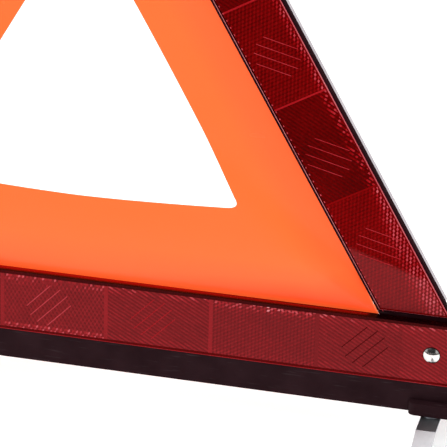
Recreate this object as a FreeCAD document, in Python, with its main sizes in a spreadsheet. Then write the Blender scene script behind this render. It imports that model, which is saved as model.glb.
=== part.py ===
import FreeCAD, Part
import math
import os

import Sketcher

# Folding warning triangle, in millimetres, +Z up, front towards -Y.
# The origin is on the floor, under the middle of the model's box.
# Each arm is drawn lying along its own X axis, pivot at the origin, and then turned into place.

ROOT3 = math.sqrt(3.0)

SIZES = {
    # The triangle between the three pivot and corner points
    "pivot_span": 444.0,
    "pivot_height": 65.0,
    "front_face": -12.0,
    # Bars: black mouldings with a red lens on their front
    "bar_half": 20.0,
    "rim": 1.3,
    "lens_proud": 0.4,
    "lens_thick": 2.8,
    "tip_cut": 26.0,
    "edge_bevel": 0.5,
    "lens_lip": 1.0,
    # Base beam below the bottom lens
    "plate_back": 6.4,
    "stand_drop": 39.5,
    "stand_half": 240.0,
    "shoulder_drop": 30.0,
    "cell_pitch": 57.0,
    "cell_half_wide": 26.0,
    "cell_low": 37.0,
    "cell_high": 22.5,
    "cell_deep": 3.6,
    "leg_pivot_out": 224.0,
    "leg_pivot_back": 3.0,
    "boss_half_long": 14.0,
    "boss_half_deep": 8.0,
    "boss_tall": 8.0,
    "boss_round": 4.0,
    # Arms
    "right_front": 7.2,
    "left_front": 20.8,
    "frame_back": 4.6,
    "lens_foot": 22.2,
    "cover_back": 9.8,
    "cover_start": 24.0,
    "right_cover_end": 392.0,
    "left_cover_end": 448.0,
    "cover_half": 19.6,
    "cover_wall": 1.8,
    # Rivets and what is on them
    "rivet_head": 4.9,
    "rivet_dome": 1.9,
    "rivet_edge": 0.4,
    "rivet_shank": 2.5,
    "rivet_tail": 4.5,
    "tail_tall": 1.5,
    "fixed_hole": 2.52,
    "running_hole": 2.58,
    "washer_outer": 6.0,
    "washer_thick": 1.0,
    "sleeve_outer": 5.0,
    # Film
    "film_thick": 0.4,
    "film_gap": 0.05,
    "film_tuck": 8.0,
    "film_inner": 66.0,
    "film_top": 76.6,
    "film_sag": 3.4,
    "film_below": 12.0,
    "film_foot": 40.0,
    "film_base_half": 182.0,
    "film_split": 1.0,
    # Press stud that joins the arms
    "catch_reach": 407.0,
    "catch_tab": 8.0,
    "catch_boss": 7.0,
    "catch_boss_back": 9.6,
    "catch_cap": 5.2,
    "catch_recess": 5.5,
    "catch_post": 2.0,
    "catch_hole": 2.05,
    "socket_outer": 5.5,
    "socket_inner": 3.05,
    "stud_bulb": 2.9,
    "stud_waist": 2.5,
    # Folding legs
    "leg_thick": 1.5,
    "leg_half_wide": 6.0,
    "leg_heel": 7.0,
    "leg_round": 5.9,
    "leg_ease": 0.25,
    "toe_long": 12.0,
    "front_leg_level": 22.3,
    "front_leg_flat": 22.0,
    "front_leg_foot": 86.0,
    "rear_leg_level": 23.9,
    "rear_leg_flat": 38.0,
    "rear_leg_foot": 104.0,
    "leg_shank": 2.0,
    "leg_hole": 2.06,
    "leg_head": 4.2,
    "leg_washer": 5.0,
}

doc = FreeCAD.newDocument("WarningTriangle")
sheet = doc.addObject("Spreadsheet::Sheet", "Params")
for row, (alias, number) in enumerate(SIZES.items(), start=1):
    sheet.set("A%d" % row, alias)
    sheet.set("B%d" % row, str(number))
    sheet.setAlias("B%d" % row, alias)
doc.recompute()

nodes = []


def size(**parts):
    """A length made of sheet cells: its value, and the expression that binds it."""
    value = sum(factor * SIZES[alias] for alias, factor in parts.items())
    terms = ["(%.9g) * Params.%s" % (factor, alias) for alias, factor in parts.items()]
    return value, " + ".join(terms)


def bind(item, prop, length):
    """Sets a property from the sheet."""
    item.setExpression(prop, length[1])


def node(item, label):
    """Keeps a finished sub-part under the name that its file gets."""
    item.Label = label
    nodes.append(item)
    return item


def new_body(label, turn=0.0, axis=(0, 1, 0), x=None, y=None, z=None):
    """A body turned about an axis and placed by the sheet."""
    body = doc.addObject("PartDesign::Body", label)
    body.Placement = FreeCAD.Placement(
        FreeCAD.Vector(0, 0, 0), FreeCAD.Rotation(FreeCAD.Vector(*axis), turn)
    )
    for prop, length in (("x", x), ("y", y), ("z", z)):
        if length is not None:
            bind(body, "Placement.Base." + prop, length)
    return node(body, label)


def origin_part(body, role):
    """The plane or axis of a body's origin with this role."""
    return [f for f in body.Origin.OriginFeatures if f.Role == role][0]


def place_sketch(body, name, plane, level):
    """A sketch on an origin plane, moved along the plane's normal."""
    sketch = body.newObject("Sketcher::SketchObject", name)
    sketch.AttachmentSupport = [(origin_part(body, plane + "_Plane"), "")]
    sketch.MapMode = "FlatFace"
    if level is not None:
        # The XZ plane's normal points to -Y
        sign = -1.0 if plane == "XZ" else 1.0
        bind(sketch, "AttachmentOffset.Base.z", (0, "%g * (%s)" % (sign, level[1])))
    return sketch


def arc_between(start, end, centre):
    """The shorter arc from start to end, and which of its ends each of them is."""
    radius = math.dist(start, centre)
    first = math.atan2(start[1] - centre[1], start[0] - centre[0])
    last = math.atan2(end[1] - centre[1], end[0] - centre[0])
    forward = (last - first) % (2 * math.pi)
    circle = Part.Circle(
        FreeCAD.Vector(centre[0], centre[1], 0), FreeCAD.Vector(0, 0, 1), radius
    )
    if forward <= math.pi + 1e-6:
        return Part.ArcOfCircle(circle, first, first + forward), (1, 2)
    return Part.ArcOfCircle(circle, last, last + 2 * math.pi - forward), (2, 1)


def outline(body, name, plane, points, level=None, arcs=None):
    """A closed outline whose corners are bound to the sheet; arcs gives some edges a centre."""
    sketch = place_sketch(body, name, plane, level)
    arcs = arcs or {}
    ends = []
    count = len(points)
    for i in range(count):
        start = [c[0] for c in points[i]]
        end = [c[0] for c in points[(i + 1) % count]]
        if i in arcs:
            edge, order = arc_between(start, end, [c[0] for c in arcs[i]])
        else:
            edge = Part.LineSegment(FreeCAD.Vector(*start, 0), FreeCAD.Vector(*end, 0))
            order = (1, 2)
        sketch.addGeometry(edge, False)
        ends.append(order)
    for i in range(count):
        following = (i + 1) % count
        sketch.addConstraint(
            Sketcher.Constraint("Coincident", i, ends[i][1], following, ends[following][0])
        )
    for i, point in enumerate(points):
        fix_point(sketch, i, ends[i][0], point)
    for i, centre in arcs.items():
        fix_distance(sketch, "DistanceX", i, 3, centre[0])
    return sketch


def fix_distance(sketch, kind, edge, vertex, length):
    """One coordinate of a sketch point, bound to the sheet."""
    index = sketch.addConstraint(Sketcher.Constraint(kind, -1, 1, edge, vertex, length[0]))
    sketch.setExpression("Constraints[%d]" % index, length[1])


def fix_point(sketch, edge, vertex, point):
    """Both coordinates of a sketch point."""
    fix_distance(sketch, "DistanceX", edge, vertex, point[0])
    fix_distance(sketch, "DistanceY", edge, vertex, point[1])


def circles(body, name, plane, centres, radius, level=None):
    """Circles of one radius at the centres."""
    sketch = place_sketch(body, name, plane, level)
    for i, centre in enumerate(centres):
        spot = FreeCAD.Vector(centre[0][0], centre[1][0], 0)
        sketch.addGeometry(Part.Circle(spot, FreeCAD.Vector(0, 0, 1), radius[0]), False)
        fix_point(sketch, i, 3, centre)
        index = sketch.addConstraint(Sketcher.Constraint("Radius", i, radius[0]))
        sketch.setExpression("Constraints[%d]" % index, radius[1])
    return sketch


def pad(body, sketch, length, reverse=False, middle=False):
    """Grows the outline along its normal, or against it."""
    feature = body.newObject("PartDesign::Pad", sketch.Name + "_Pad")
    feature.Profile = sketch
    bind(feature, "Length", length)
    feature.Reversed = reverse
    feature.SideType = "Symmetric" if middle else "One side"
    doc.recompute()
    return feature


def pocket(body, sketch, length, reverse=False):
    """Cuts the outline against its normal, or along it, and sees that something was cut."""
    before = body.Shape.Volume
    feature = body.newObject("PartDesign::Pocket", sketch.Name + "_Pocket")
    feature.Profile = sketch
    bind(feature, "Length", length)
    feature.Reversed = reverse
    doc.recompute()
    if not body.Shape.Volume < before - 0.01:
        raise RuntimeError(sketch.Name + " cuts nothing")
    return feature


def revolve(body, sketch, role):
    """Turns the outline right round an origin axis."""
    feature = body.newObject("PartDesign::Revolution", sketch.Name + "_Turn")
    feature.Profile = sketch
    feature.ReferenceAxis = (origin_part(body, role), [""])
    feature.Angle = 360.0
    doc.recompute()
    return feature


def bevel_front(body, level, amount):
    """Bevels the rim of the flat front face at this depth."""
    base = body.Tip
    faces = []
    for index, face in enumerate(base.Shape.Faces, start=1):
        flat = face.BoundBox.YLength < 1e-6 and abs(face.BoundBox.YMin - level) < 1e-6
        if flat:
            faces.append("Face%d" % index)
    feature = body.newObject("PartDesign::Chamfer", body.Name + "_Bevel")
    feature.Base = (base, faces)
    bind(feature, "Size", amount)
    doc.recompute()
    return feature


def round_upright(body, wanted, radius):
    """Rounds the upright edges that the test picks out."""
    base = body.Tip
    picked = []
    for index, edge in enumerate(base.Shape.Edges, start=1):
        box = edge.BoundBox
        upright = box.XLength < 1e-6 and box.YLength < 1e-6
        if upright and wanted(box.XMin, box.YMin):
            picked.append("Edge%d" % index)
    feature = body.newObject("PartDesign::Fillet", body.Name + "_Round")
    feature.Base = (base, picked)
    bind(feature, "Radius", radius)
    doc.recompute()
    return feature


NONE = size(rim=0.0)


def mirrored(points):
    """The points and their mirror images across X = 0, in one loop."""
    flipped = [((-x[0], "-(%s)" % x[1]), z) for x, z in reversed(points)]
    return points + flipped


# Base: beam, lens, film


def bar_outline():
    """Right half of the bottom bar's front, with mitred and cut-off ends."""
    return [
        (size(pivot_span=0.5, bar_half=1 / ROOT3), size(bar_half=1.0)),
        (size(pivot_span=0.5, tip_cut=1.0), size(bar_half=2.0, tip_cut=-ROOT3)),
        (size(pivot_span=0.5, tip_cut=1.0), size(bar_half=-1.0)),
    ]


def lip_outline():
    """Right half of the lens's wall over the top of the bottom bar."""
    return [
        (size(pivot_span=0.5, bar_half=1 / ROOT3), size(bar_half=1.0)),
        (
            size(pivot_span=0.5, bar_half=1 / ROOT3, lens_lip=1 / ROOT3),
            size(bar_half=1.0, lens_lip=-1.0),
        ),
    ]


def pivot_centres():
    """The two arm pivots on the bottom bar."""
    return [(size(pivot_span=0.5), NONE), (size(pivot_span=-0.5), NONE)]


def leg_centres():
    """The two leg pivots, seen from above."""
    back = size(leg_pivot_back=1.0)
    return [(size(leg_pivot_out=1.0), back), (size(leg_pivot_out=-1.0), back)]


def rectangle(low, high):
    """The four corners of an upright rectangle."""
    return [low, (high[0], low[1]), high, (low[0], high[1])]


def build_base_beam():
    """Black beam: a plate behind the lens, a cored stand below it, bosses for the legs."""
    body = new_body("base_beam", y=size(front_face=1.0), z=size(pivot_height=1.0))
    right = bar_outline()[:2]
    right.append((size(pivot_span=0.5, tip_cut=1.0), size(shoulder_drop=-1.0)))
    right.append((size(stand_half=1.0), size(stand_drop=-1.0)))
    plate = outline(body, "BeamPlate", "XZ", mirrored(right), size(lens_proud=1.0))
    pad(body, plate, size(plate_back=1.0, lens_proud=-1.0), reverse=True)
    seat = outline(body, "BeamSeat", "XZ", mirrored(bar_outline()), size(lens_proud=1.0))
    pocket(body, seat, size(lens_thick=1.0, lens_proud=-1.0))
    top = outline(body, "BeamTop", "XZ", mirrored(lip_outline()), size(lens_thick=1.0))
    pocket(body, top, size(plate_back=1.0, lens_thick=-1.0))
    for side, name in ((1.0, "Right"), (-1.0, "Left")):
        boss = rectangle(
            (
                size(leg_pivot_out=side, boss_half_long=-1.0),
                size(leg_pivot_back=1.0, boss_half_deep=-1.0),
            ),
            (
                size(leg_pivot_out=side, boss_half_long=1.0),
                size(leg_pivot_back=1.0, boss_half_deep=1.0),
            ),
        )
        foot = outline(body, "Boss" + name, "XY", boss, size(stand_drop=-1.0))
        pad(body, foot, size(boss_tall=1.0))
    out = SIZES["leg_pivot_out"] - SIZES["boss_half_long"] - 0.1
    front = SIZES["leg_pivot_back"] - SIZES["boss_half_deep"] + 0.1
    back = SIZES["leg_pivot_back"] + SIZES["boss_half_deep"] - 0.1
    round_upright(
        body, lambda x, y: abs(x) > out and (y < front or y > back), size(boss_round=1.0)
    )
    cell = rectangle(
        (size(cell_pitch=-3.0, cell_half_wide=-1.0), size(cell_low=-1.0)),
        (size(cell_pitch=-3.0, cell_half_wide=1.0), size(cell_high=-1.0)),
    )
    hollow = outline(body, "BeamCell", "XZ", cell, size(plate_back=1.0))
    first = pocket(body, hollow, size(cell_deep=1.0), reverse=True)
    row = body.newObject("PartDesign::LinearPattern", "BeamCells")
    row.Originals = [first]
    row.Direction = (origin_part(body, "X_Axis"), [""])
    bind(row, "Length", size(cell_pitch=6.0))
    row.Occurrences = 7
    body.Tip = row
    doc.recompute()
    holes = circles(body, "BeamPivotHoles", "XZ", pivot_centres(), size(fixed_hole=1.0))
    pocket(body, holes, size(plate_back=2.0))
    feet = circles(
        body, "BeamLegHoles", "XY", leg_centres(), size(leg_shank=1.0), size(stand_drop=-1.0)
    )
    pocket(body, feet, size(boss_tall=1.5), reverse=True)


def build_base_lens():
    """Red lens over the front and the top of the bar, with the rivet holes."""
    body = new_body("base_lens", y=size(front_face=1.0), z=size(pivot_height=1.0))
    sheet_outline = outline(body, "BaseLensOutline", "XZ", mirrored(bar_outline()))
    pad(body, sheet_outline, size(lens_thick=1.0), reverse=True)
    bevel_front(body, 0.0, size(edge_bevel=1.0))
    wall = outline(body, "BaseLensTop", "XZ", mirrored(lip_outline()), size(lens_thick=1.0))
    pad(body, wall, size(plate_back=1.0, lens_thick=-1.0), reverse=True)
    holes = circles(body, "BaseLensHoles", "XZ", pivot_centres(), size(fixed_hole=1.0))
    pocket(body, holes, size(lens_thick=2.0))


def build_base_film():
    """Bottom strip of the film, on the back of the beam."""
    body = new_body("film_base", y=size(front_face=1.0), z=size(pivot_height=1.0))
    half = [
        (size(film_split=0.0), size(film_top=1.0, film_sag=-1.0)),
        (size(pivot_span=0.5, film_top=-ROOT3), size(film_top=1.0)),
        (
            size(film_base_half=1.0),
            size(pivot_span=0.5 / ROOT3, film_base_half=-1.0 / ROOT3),
        ),
        (size(film_base_half=1.0), size(film_below=-1.0)),
    ]
    points = mirrored(half)[:-1]
    strip = outline(
        body, "BaseFilmOutline", "XZ", points, size(plate_back=1.0, film_gap=1.0)
    )
    pad(body, strip, size(film_thick=1.0), reverse=True)


# Arms


def arm_body(label, right):
    """A body that lies along its own X and is turned up to 60 degrees beside its pivot."""
    return new_body(
        label,
        turn=-120.0 if right else -60.0,
        x=size(pivot_span=0.5 if right else -0.5),
        y=size(front_face=1.0),
        z=size(pivot_height=1.0),
    )


def arm_points(points, right):
    """Points given as along the arm and towards the triangle's middle, in the arm's plane."""
    if right:
        return points
    return [(u, (-w[0], "-(%s)" % w[1])) for u, w in points]


def upper_end(inset, right):
    """Upper end of an arm from its outer edge to its inner one, inside the rim."""
    if right:
        # Mitred along the other arm's inner edge
        return [
            (
                size(pivot_span=1.0, bar_half=-1 / ROOT3, rim=-3 * inset / ROOT3),
                size(bar_half=-1.0, rim=inset),
            ),
            (
                size(pivot_span=1.0, bar_half=-ROOT3, rim=-inset / ROOT3),
                size(bar_half=1.0, rim=-inset),
            ),
        ]
    # Reaches the triangle's tip, mitred along its outer edge and cut off flat on top
    return [
        (
            size(
                pivot_span=1.0,
                tip_cut=2 / ROOT3,
                bar_half=-1 / ROOT3,
                rim=-inset / ROOT3,
            ),
            size(bar_half=-1.0, rim=inset),
        ),
        (
            size(
                pivot_span=1.0,
                bar_half=1 / ROOT3,
                tip_cut=1 / ROOT3,
                rim=-2 * inset / ROOT3,
            ),
            size(bar_half=1.0, tip_cut=-1.0),
        ),
        (
            size(pivot_span=1.0, bar_half=1 / ROOT3, rim=-inset / ROOT3),
            size(bar_half=1.0, rim=-inset),
        ),
    ]


def catch_point(right):
    """Where the press stud stands on this arm: along it, and towards the middle."""
    if right:
        return (size(catch_reach=1.0), NONE)
    return (
        size(pivot_span=0.5, catch_reach=0.5),
        size(pivot_span=ROOT3 / 2, catch_reach=-ROOT3 / 2),
    )


def with_tab(end):
    """Adds the left arm's round catch tab after its upper end."""
    u, w = catch_point(False)
    far = (u[0] + SIZES["catch_tab"], u[1] + " + Params.catch_tab")
    near = (u[0] - SIZES["catch_tab"], u[1] + " - Params.catch_tab")
    top = (w[0] + SIZES["catch_tab"], w[1] + " + Params.catch_tab")
    edge = size(bar_half=1.0)
    return end + [(far, edge), (far, w), (u, top), (near, w), (near, edge)]


def build_arm_frame(right):
    """Black frame of an arm, round at the pivot, with a seat for its lens."""
    side = "right" if right else "left"
    body = arm_body("arm_%s_frame" % side, right)
    level = {"%s_front" % side: 1.0}
    end = upper_end(0.0, right)
    if not right:
        end = with_tab(end)
    heel = [(NONE, size(bar_half=1.0)), (size(bar_half=-1.0), NONE)]
    points = [(NONE, size(bar_half=-1.0))] + end + heel
    last = len(points) - 1
    arcs = {last - 1: (NONE, NONE), last: (NONE, NONE)}
    if not right:
        tab_centre = arm_points([catch_point(False)], False)[0]
        arcs.update({last - 5: tab_centre, last - 4: tab_centre})
    placed = arm_points(points, right)
    front = size(lens_proud=1.0, **level)
    name = side.capitalize() + "Frame"
    plate = outline(body, name, "XZ", placed, front, arcs)
    pad(body, plate, size(frame_back=1.0, lens_proud=-1.0), reverse=True)
    seat = outline(body, name + "Seat", "XZ", lens_points(right), front)
    pocket(body, seat, size(lens_thick=1.0, lens_proud=-1.0))
    if right:
        boss = circles(
            body,
            name + "Boss",
            "XZ",
            [catch_point(True)],
            size(catch_boss=1.0),
            size(right_front=1.0, frame_back=1.0),
        )
        pad(body, boss, size(catch_boss_back=1.0, frame_back=-1.0), reverse=True)
    pivot = circles(
        body, name + "Pivot", "XZ", [(NONE, NONE)], size(running_hole=1.0), size(**level)
    )
    pocket(body, pivot, size(frame_back=2.0))
    catch = arm_points([catch_point(right)], right)
    post = circles(body, name + "Post", "XZ", catch, size(catch_hole=1.0), size(**level))
    pocket(body, post, size(cover_back=1.5))


def lens_points(right):
    """Outline of an arm's lens, cut level just above the bottom bar."""
    foot = [
        (
            size(lens_foot=2 / ROOT3, bar_half=1 / ROOT3, rim=-1 / ROOT3),
            size(bar_half=1.0, rim=-1.0),
        ),
        (
            size(lens_foot=2 / ROOT3, bar_half=-1 / ROOT3, rim=1 / ROOT3),
            size(bar_half=-1.0, rim=1.0),
        ),
    ]
    return arm_points(foot + upper_end(1.0, right), right)


def build_arm_lens(right):
    """Red lens of an arm; the right one has a recess for the press stud's cap."""
    side = "right" if right else "left"
    body = arm_body("arm_%s_lens" % side, right)
    name = side.capitalize() + "Lens"
    front = size(**{"%s_front" % side: 1.0})
    pane = outline(body, name, "XZ", lens_points(right), front)
    pad(body, pane, size(lens_thick=1.0), reverse=True)
    bevel_front(body, front[0], size(edge_bevel=1.0))
    if right:
        recess = circles(
            body, name + "Recess", "XZ", [catch_point(True)], size(catch_recess=1.0), front
        )
        pocket(body, recess, size(lens_thick=2.0))


def build_arm_cover(right):
    """Pale hollow cover that clamps the film to the back of the frame."""
    side = "right" if right else "left"
    body = arm_body("arm_%s_cover" % side, right)
    name = side.capitalize() + "Cover"
    front = size(frame_back=1.0, **{"%s_front" % side: 1.0})
    finish = "%s_cover_end" % side
    block = rectangle(
        (size(cover_start=1.0), size(cover_half=-1.0)),
        (size(**{finish: 1.0}), size(cover_half=1.0)),
    )
    shell = outline(body, name, "XZ", arm_points(block, right), front)
    pad(body, shell, size(cover_back=1.0, frame_back=-1.0), reverse=True)
    hollow = rectangle(
        (size(cover_start=1.0, cover_wall=1.0), size(cover_half=-1.0, cover_wall=1.0)),
        (size(cover_wall=-1.0, **{finish: 1.0}), size(cover_half=1.0, cover_wall=-1.0)),
    )
    room = outline(body, name + "Hollow", "XZ", arm_points(hollow, right), front)
    pocket(body, room, size(cover_back=1.0, frame_back=-1.0, cover_wall=-1.0))
    seat = rectangle(
        (size(cover_start=0.5), size(film_tuck=1.0)),
        (size(cover_start=0.5, **{finish: 1.0}), size(bar_half=2.0)),
    )
    step = outline(body, name + "Step", "XZ", arm_points(seat, right), front)
    pocket(body, step, size(film_thick=1.0, film_gap=1.0))


def build_arm_film(right):
    """Side strip of the film, clamped along the arm's inner half."""
    side = "right" if right else "left"
    body = arm_body("film_%s" % side, right)
    reach = size(right_cover_end=1.0)
    points = [
        (size(film_foot=1.0), size(film_tuck=1.0)),
        (size(film_foot=1.0), size(film_foot=1 / ROOT3)),
        (size(film_inner=ROOT3), size(film_inner=1.0)),
        (size(pivot_span=1.0, film_split=-2.0, film_inner=-ROOT3), size(film_inner=1.0)),
        (
            reach,
            size(
                pivot_span=1 / ROOT3, film_split=-2 / ROOT3, right_cover_end=-1 / ROOT3
            ),
        ),
        (reach, size(film_tuck=1.0)),
    ]
    level = size(frame_back=1.0, film_gap=0.5, **{"%s_front" % side: 1.0})
    strip = outline(
        body, side.capitalize() + "Film", "XZ", arm_points(points, right), level
    )
    pad(body, strip, size(film_thick=1.0), reverse=True)


# Rivets, washers, sleeve


def turned_part(label, profile, arcs, x, y, z):
    """A part turned about an axis along Y; its profile is radius and depth."""
    body = new_body(label, x=x, y=y, z=z)
    half = outline(body, label.replace("_", "") + "Half", "XY", profile, None, arcs)
    revolve(body, half, "Y_Axis")
    return body


def build_pivot_rivet(right):
    """Domed rivet through the beam and an arm's round end."""
    side = "right" if right else "left"
    seat = {"%s_front" % side: 1.0, "frame_back": 1.0, "washer_thick": 1.1}
    tail_end = dict(seat, tail_tall=1.0)
    dome_foot = size(rivet_edge=-1.0)
    profile = [
        (NONE, size(rivet_dome=-1.0)),
        (size(rivet_head=1.0), dome_foot),
        (size(rivet_head=1.0), NONE),
        (size(rivet_shank=1.0), NONE),
        (size(rivet_shank=1.0), size(**seat)),
        (size(rivet_tail=1.0), size(**seat)),
        (size(rivet_tail=0.8), size(**tail_end)),
        (NONE, size(**tail_end)),
    ]
    rise = SIZES["rivet_dome"] - SIZES["rivet_edge"]
    radius = (SIZES["rivet_head"] ** 2 + rise**2) / (2 * rise)
    centre = (NONE, (radius - SIZES["rivet_dome"], ""))
    turned_part(
        "rivet_%s" % side,
        profile,
        {0: centre},
        size(pivot_span=0.5 if right else -0.5),
        size(front_face=1.0),
        size(pivot_height=1.0),
    )


def ring(name, outer, inner, length, x, y, z, axis_turn):
    """A plain ring as a cut of two cylinders."""
    parts = []
    for suffix, radius in (("Outer", outer), ("Inner", inner)):
        cylinder = doc.addObject("Part::Cylinder", name + suffix)
        bind(cylinder, "Radius", radius)
        bind(cylinder, "Height", length)
        cylinder.Placement.Rotation = FreeCAD.Rotation(FreeCAD.Vector(1, 0, 0), axis_turn)
        for prop, place in (("x", x), ("y", y), ("z", z)):
            bind(cylinder, "Placement.Base." + prop, place)
        parts.append(cylinder)
    cut = doc.addObject("Part::Cut", name)
    cut.Base, cut.Tool = parts
    return cut


def build_washers(right):
    """The washers in front of and behind an arm's round end."""
    side = "right" if right else "left"
    front = "%s_front" % side
    x = size(pivot_span=0.5 if right else -0.5)
    z = size(pivot_height=1.0)
    before = {"front_face": 1.0, front: 1.0, "lens_proud": 0.5, "washer_thick": -1.0}
    if right:
        before = {"front_face": 1.0, "plate_back": 1.0}
    behind = {"front_face": 1.0, front: 1.0, "frame_back": 1.0, "washer_thick": 0.1}
    rings = []
    for name, depth in (("Front", before), ("Rear", behind)):
        rings.append(
            ring(
                "Washer" + side.capitalize() + name,
                size(washer_outer=1.0),
                size(fixed_hole=1.0),
                size(washer_thick=1.0),
                x,
                size(**depth),
                z,
                -90.0,
            )
        )
    pair = doc.addObject("Part::Compound", "washers_" + side)
    pair.Links = rings
    node(pair, "washers_" + side)


def build_sleeve():
    """Spacer that carries the left arm behind the right one."""
    sleeve = ring(
        "spacer_left",
        size(sleeve_outer=1.0),
        size(fixed_hole=1.0),
        size(left_front=1.0, lens_proud=0.5, washer_thick=-1.0, plate_back=-1.0),
        size(pivot_span=-0.5),
        size(front_face=1.0, plate_back=1.0),
        size(pivot_height=1.0),
        -90.0,
    )
    node(sleeve, "spacer_left")


# Press stud


def catch_place():
    """World place of the press stud's axis."""
    return (
        size(pivot_span=0.5, catch_reach=-0.5),
        size(front_face=1.0),
        size(pivot_height=1.0, catch_reach=ROOT3 / 2),
    )


def build_catch():
    """Cap and socket on the right arm, stud and post on the left arm's tab."""
    place = catch_place()
    socket = {"right_front": 1.0, "catch_boss_back": 1.0}
    cap_front = {"right_front": 1.0, "film_thick": 0.25}
    cap_seat = size(right_front=1.0, lens_thick=1.0)
    cap = [
        (NONE, size(**cap_front)),
        (size(catch_cap=0.75), size(**dict(cap_front, rivet_edge=1.0))),
        (size(catch_cap=1.0), size(**dict(cap_front, rivet_edge=3.0))),
        (size(catch_cap=1.0), cap_seat),
        (size(catch_post=1.0), cap_seat),
        (size(catch_post=1.0), size(rivet_edge=1.3, **socket)),
        (size(stud_bulb=1.0), size(rivet_edge=1.3, **socket)),
        (size(stud_bulb=1.0), size(rivet_edge=2.5, **socket)),
        (NONE, size(rivet_edge=2.5, **socket)),
    ]
    turned_part("snap_cap", cap, None, *place)
    cup = [
        (size(catch_hole=1.0), size(**socket)),
        (size(socket_outer=1.0), size(**socket)),
        (size(socket_outer=1.0), size(rivet_edge=7.0, **socket)),
        (size(socket_inner=1.0, rivet_edge=1.0), size(rivet_edge=8.5, **socket)),
        (size(socket_inner=1.0), size(rivet_edge=8.0, **socket)),
        (size(socket_inner=1.0), size(rivet_edge=1.2, **socket)),
        (size(catch_hole=1.0), size(rivet_edge=1.2, **socket)),
    ]
    turned_part("snap_socket", cup, None, *place)
    tab = {"left_front": 1.0, "lens_proud": 1.0}
    stud = [
        (NONE, size(rivet_edge=-8.0, **tab)),
        (size(stud_waist=0.9), size(rivet_edge=-8.0, **tab)),
        (size(stud_bulb=1.0), size(rivet_edge=-6.8, **tab)),
        (size(stud_bulb=1.0), size(rivet_edge=-5.0, **tab)),
        (size(stud_waist=1.0), size(rivet_edge=-3.6, **tab)),
        (size(stud_waist=1.0), size(rivet_edge=-1.5, **tab)),
        (size(socket_outer=1.0), size(rivet_edge=-1.2, **tab)),
        (size(socket_outer=1.0), size(**tab)),
        (size(catch_hole=1.0), size(**tab)),
        (size(catch_hole=1.0), size(rivet_edge=-4.5, **tab)),
        (NONE, size(rivet_edge=-4.5, **tab)),
    ]
    turned_part("snap_stud", stud, None, *place)
    back = {"left_front": 1.0, "frame_back": 1.0}
    post = [
        (NONE, size(rivet_edge=-3.5, **tab)),
        (size(catch_post=1.0), size(rivet_edge=-3.5, **tab)),
        (size(catch_post=1.0), size(**back)),
        (size(catch_cap=1.0), size(**back)),
        (size(catch_cap=0.85), size(rivet_edge=3.0, **back)),
        (NONE, size(rivet_edge=3.5, **back)),
    ]
    turned_part("snap_post", post, None, *place)


# Legs


def build_leg(label, right, front):
    """Bent strip leg on its upright rivet, pointing straight to the front or the back."""
    kind = "front" if front else "rear"
    level = "%s_leg_level" % kind
    flat = "%s_leg_flat" % kind
    foot = "%s_leg_foot" % kind
    body = new_body(
        label,
        turn=-90.0 if front else 90.0,
        axis=(0, 0, 1),
        x=size(leg_pivot_out=1.0 if right else -1.0),
        y=size(front_face=1.0, leg_pivot_back=1.0),
    )
    heel = size(leg_heel=-1.0)
    toe = size(toe_long=1.0, **{foot: 1.0})
    profile = [
        (heel, size(**{level: 1.0})),
        (size(**{flat: 1.0}), size(**{level: 1.0})),
        (size(**{foot: 1.0}), NONE),
        (toe, NONE),
        (toe, size(leg_thick=1.0)),
        (size(leg_ease=1.0, **{foot: 1.0}), size(leg_thick=1.0)),
        (size(leg_ease=1.0, **{flat: 1.0}), size(leg_thick=1.0, **{level: 1.0})),
        (heel, size(leg_thick=1.0, **{level: 1.0})),
    ]
    strip = outline(body, label.replace("_", "") + "Bend", "XZ", profile)
    pad(body, strip, size(leg_half_wide=2.0), middle=True)
    ends = (-SIZES["leg_heel"] + 0.1, SIZES[foot] + SIZES["toe_long"] - 0.1)
    round_upright(body, lambda x, y: x < ends[0] or x > ends[1], size(leg_round=1.0))
    hole = circles(
        body, label.replace("_", "") + "Hole", "XY", [(NONE, NONE)], size(leg_hole=1.0)
    )
    pocket(body, hole, size(pivot_height=1.0), reverse=True)


def build_leg_rivet(right):
    """Headed pin through the two legs, driven into the boss above them."""
    label = "leg_rivet_right" if right else "leg_rivet_left"
    under = {"front_leg_level": 1.0, "washer_thick": -1.1}
    top = {"pivot_height": 1.0, "stand_drop": -1.0, "boss_tall": 1.4}
    body = new_body(
        label,
        x=size(leg_pivot_out=1.0 if right else -1.0),
        y=size(front_face=1.0, leg_pivot_back=1.0),
    )
    profile = [
        (NONE, size(rivet_edge=-3.5, **under)),
        (size(leg_head=0.85), size(rivet_edge=-3.5, **under)),
        (size(leg_head=1.0), size(rivet_edge=-2.5, **under)),
        (size(leg_head=1.0), size(**under)),
        (size(leg_shank=1.0), size(**under)),
        (size(leg_shank=1.0), size(rivet_edge=-1.0, **top)),
        (size(leg_shank=0.8), size(**top)),
        (NONE, size(**top)),
    ]
    half = outline(body, label.replace("_", "") + "Half", "XZ", profile)
    revolve(body, half, "Z_Axis")


def build_leg_washers():
    """One washer under each pair of legs."""
    rings = []
    for name, side in (("Right", 1.0), ("Left", -1.0)):
        rings.append(
            ring(
                "LegWasher" + name,
                size(leg_washer=1.0),
                size(leg_hole=1.0),
                size(washer_thick=1.0),
                size(leg_pivot_out=side),
                size(front_face=1.0, leg_pivot_back=1.0),
                size(front_leg_level=1.0, washer_thick=-1.1),
                0.0,
            )
        )
    pair = doc.addObject("Part::Compound", "leg_washers")
    pair.Links = rings
    node(pair, "leg_washers")


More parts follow.
